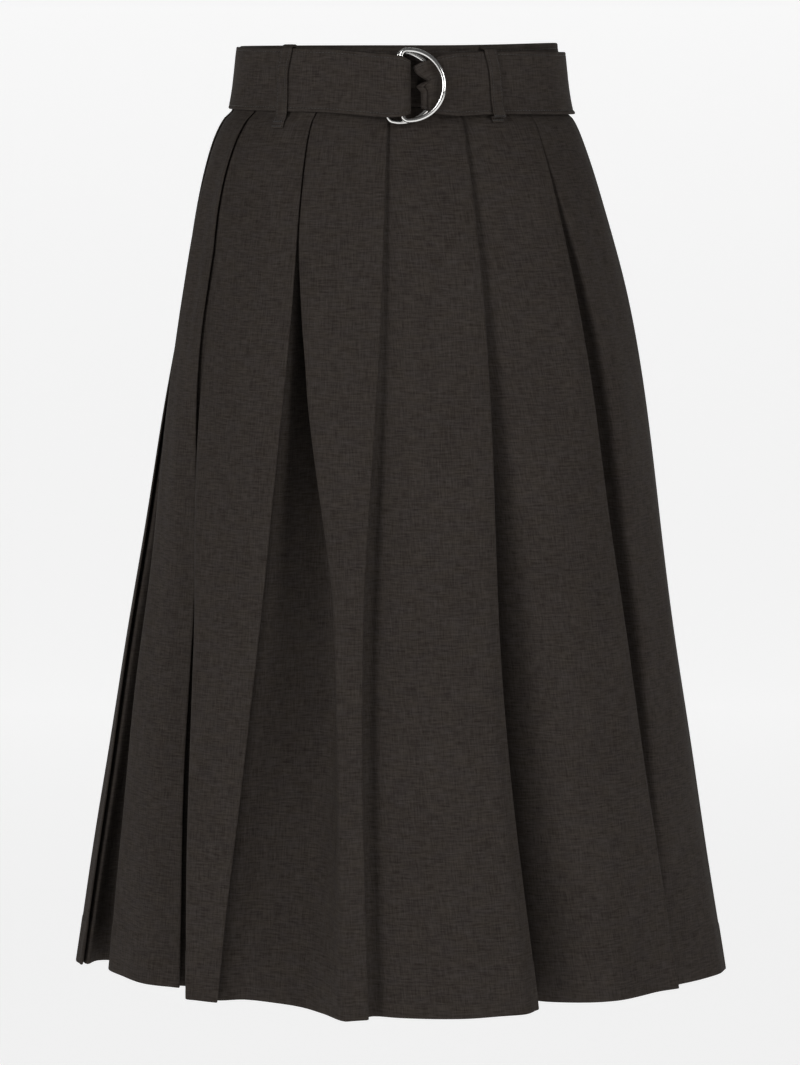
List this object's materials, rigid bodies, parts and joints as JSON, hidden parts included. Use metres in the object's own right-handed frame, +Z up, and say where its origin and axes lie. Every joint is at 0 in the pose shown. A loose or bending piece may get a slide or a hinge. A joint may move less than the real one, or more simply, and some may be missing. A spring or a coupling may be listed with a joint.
{
  "type": "pleated midi skirt",
  "caption": "Knife-pleated midi skirt in its worn, hollow form, with waistband, belt loops and a self-fabric belt closed by half-round rings.",
  "frame": {"origin": "centre of the waist opening, level with the waistband's top edge, where the wearer's waist holds the skirt up", "axes": "+Z up the wearer's body, the skirt's front faces -Y, +X towards the viewer's right when seen from the front"},
  "size_m": [0.5262, 0.4276, 0.7419],
  "materials": {
    "cloth": "matte woven suiting",
    "metal": "polished, silver-coloured"
  },
  "bodies": {
    "root": {"skirt_front": "cloth", "skirt_back": "cloth", "waistband": "cloth", "belt": "cloth", "belt_loop_front_left": "cloth", "belt_loop_front_right": "cloth", "belt_loop_back_right": "cloth", "belt_loop_back_centre": "cloth", "belt_loop_back_left": "cloth", "d_ring_front": "metal", "d_ring_rear": "metal"}
  },
  "joints": []
}
